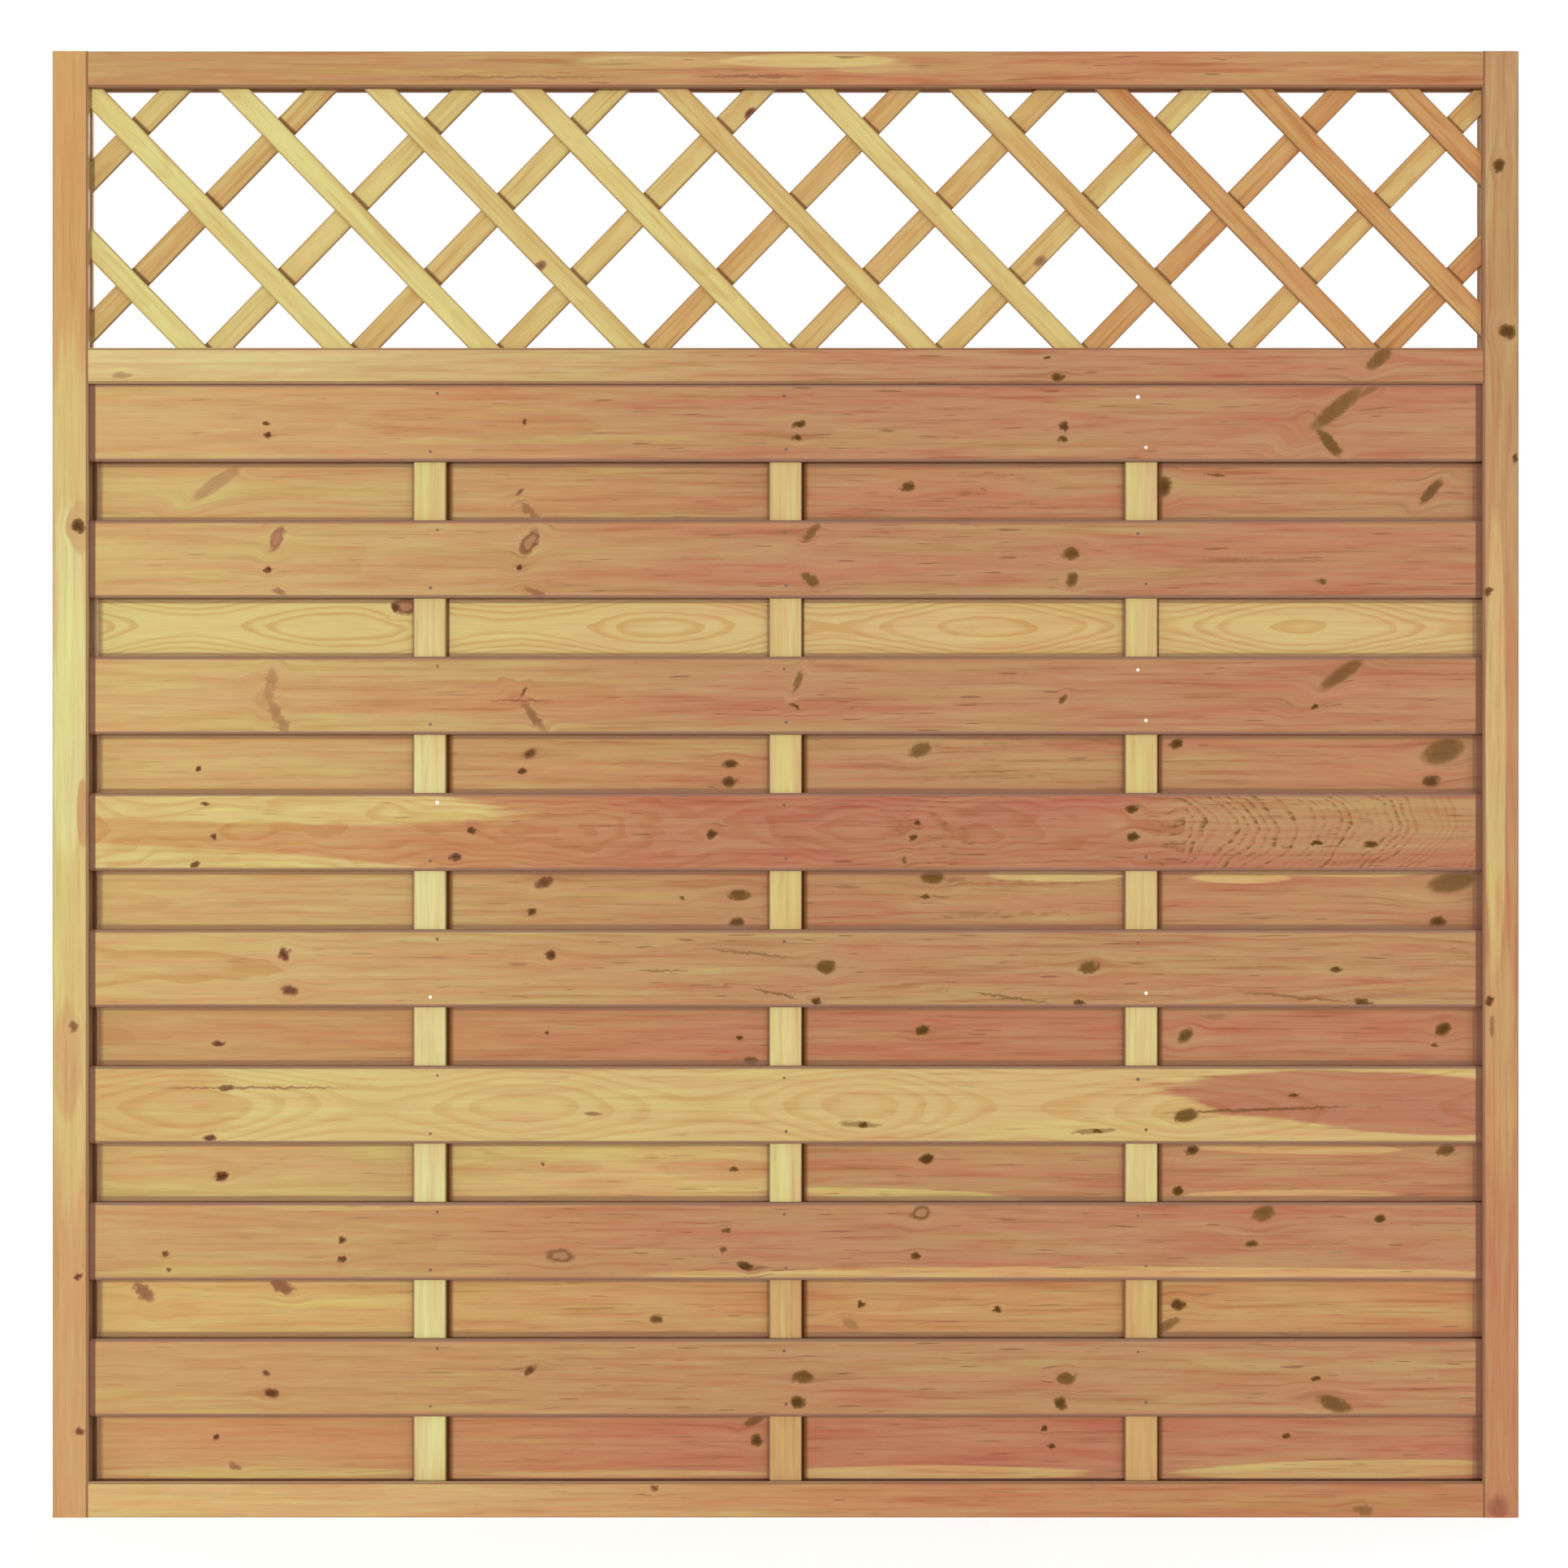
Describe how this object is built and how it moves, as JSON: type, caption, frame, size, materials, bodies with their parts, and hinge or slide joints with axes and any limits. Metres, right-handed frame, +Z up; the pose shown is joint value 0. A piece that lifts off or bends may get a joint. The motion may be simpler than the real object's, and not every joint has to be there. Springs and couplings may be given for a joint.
{
  "type": "slatted fence panel with lattice top",
  "caption": "Framed square timber fence panel with overlapping horizontal slats on both sides of upright battens and a diamond lattice along the top.",
  "frame": {"origin": "centre of the left stile's outer side face, the flat face that meets the left post, half way up the panel", "axes": "+X along the panel to the right as seen from the front, +Y from the front to the back, +Z up"},
  "size_m": [1.8, 0.044, 1.8],
  "materials": {
    "frame_timber": "planed softwood, pressure treated, honey coloured",
    "batten_timber": "planed softwood, pressure treated, pale yellow",
    "front_slat_timber": "planed softwood, pressure treated, warm tan with red-brown grain and knots",
    "back_slat_timber": "planed softwood, pressure treated, tan with red-brown grain and knots",
    "lath_timber": "planed softwood lath, pressure treated, yellow to light brown"
  },
  "bodies": {
    "root": {"left_stile": "frame_timber", "right_stile": "frame_timber", "top_rail": "frame_timber", "mid_rail": "frame_timber", "bottom_rail": "frame_timber", "batten_1": "batten_timber", "batten_2": "batten_timber", "batten_3": "batten_timber", "front_slat_1": "front_slat_timber", "front_slat_2": "front_slat_timber", "front_slat_3": "front_slat_timber", "front_slat_4": "front_slat_timber", "front_slat_5": "front_slat_timber", "front_slat_6": "front_slat_timber", "front_slat_7": "front_slat_timber", "front_slat_8": "front_slat_timber", "back_slat_1": "back_slat_timber", "back_slat_2": "back_slat_timber", "back_slat_3": "back_slat_timber", "back_slat_4": "back_slat_timber", "back_slat_5": "back_slat_timber", "back_slat_6": "back_slat_timber", "back_slat_7": "back_slat_timber", "back_slat_8": "back_slat_timber", "lattice": "lath_timber"}
  },
  "joints": []
}
